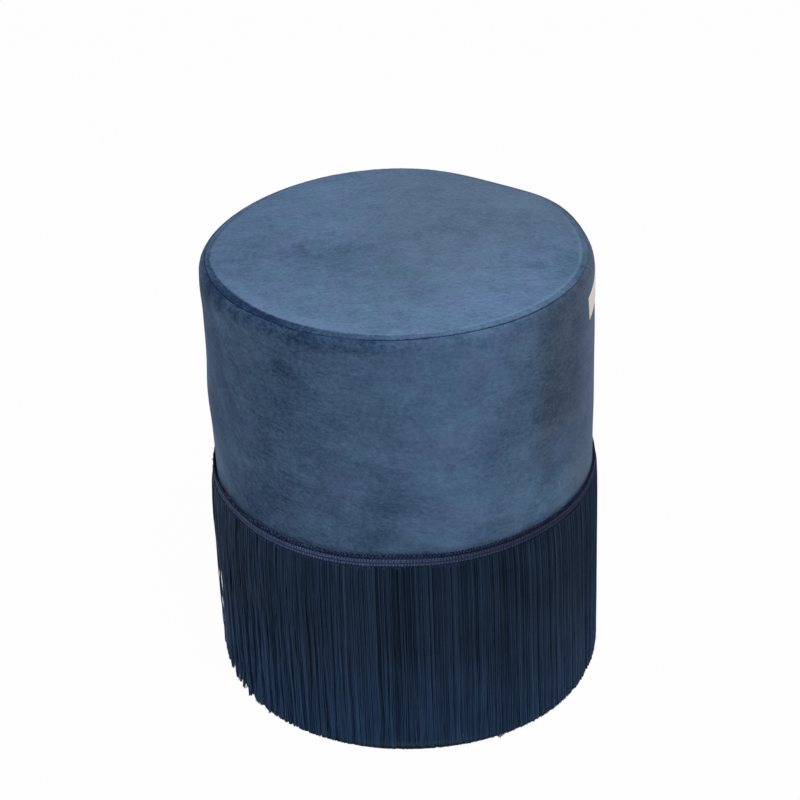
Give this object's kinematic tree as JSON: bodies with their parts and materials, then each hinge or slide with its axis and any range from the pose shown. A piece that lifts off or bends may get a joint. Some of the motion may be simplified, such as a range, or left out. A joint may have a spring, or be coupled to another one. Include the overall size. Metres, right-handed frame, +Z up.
{
  "type": "upholstered pouf",
  "caption": "Round upholstered pouf with a flat crowned velvet seat, a sewn rim and a long yarn fringe that hangs from a woven braid to the floor.",
  "frame": {"origin": "on the floor, at the middle of the pouf's base", "axes": "+Z up along the pouf's axis, -Y towards the side that the picture shows, +X to that side's right"},
  "size_m": [0.3583, 0.3584, 0.42],
  "materials": {
    "velvet": "short brushed velvet pile, mid blue, with lighter and darker brushed patches",
    "braid": "woven navy braid with rows of lighter stitches",
    "fringe_yarn": "fine glossy navy yarns, twisted",
    "label_tape": "plain cream satin tape",
    "nonwoven": "black spunbonded cloth",
    "foam": "open-cell upholstery foam",
    "hardboard": "smooth brown fibreboard",
    "plywood": "raw plywood",
    "pine": "planed softwood",
    "glide_plastic": "moulded black plastic",
    "wire_steel": "galvanised wire",
    "screw_zinc": "yellow zinc plate"
  },
  "bodies": {
    "root": {"top_panel": "velvet", "side_panel": "velvet", "fringe_header": "braid", "fringe_strands": "fringe_yarn", "label": "label_tape", "dust_cover": "nonwoven", "seat_foam": "foam", "side_foam": "foam", "side_shell": "hardboard", "base_board": "plywood", "seat_board": "plywood", "post_1": "pine", "post_2": "pine", "post_3": "pine", "post_4": "pine", "glides": "glide_plastic", "glide_nails": "wire_steel", "base_screws": "screw_zinc", "seat_screws": "screw_zinc", "shell_staples": "wire_steel", "hem_staples": "wire_steel", "dust_cover_staples": "wire_steel"}
  },
  "joints": []
}
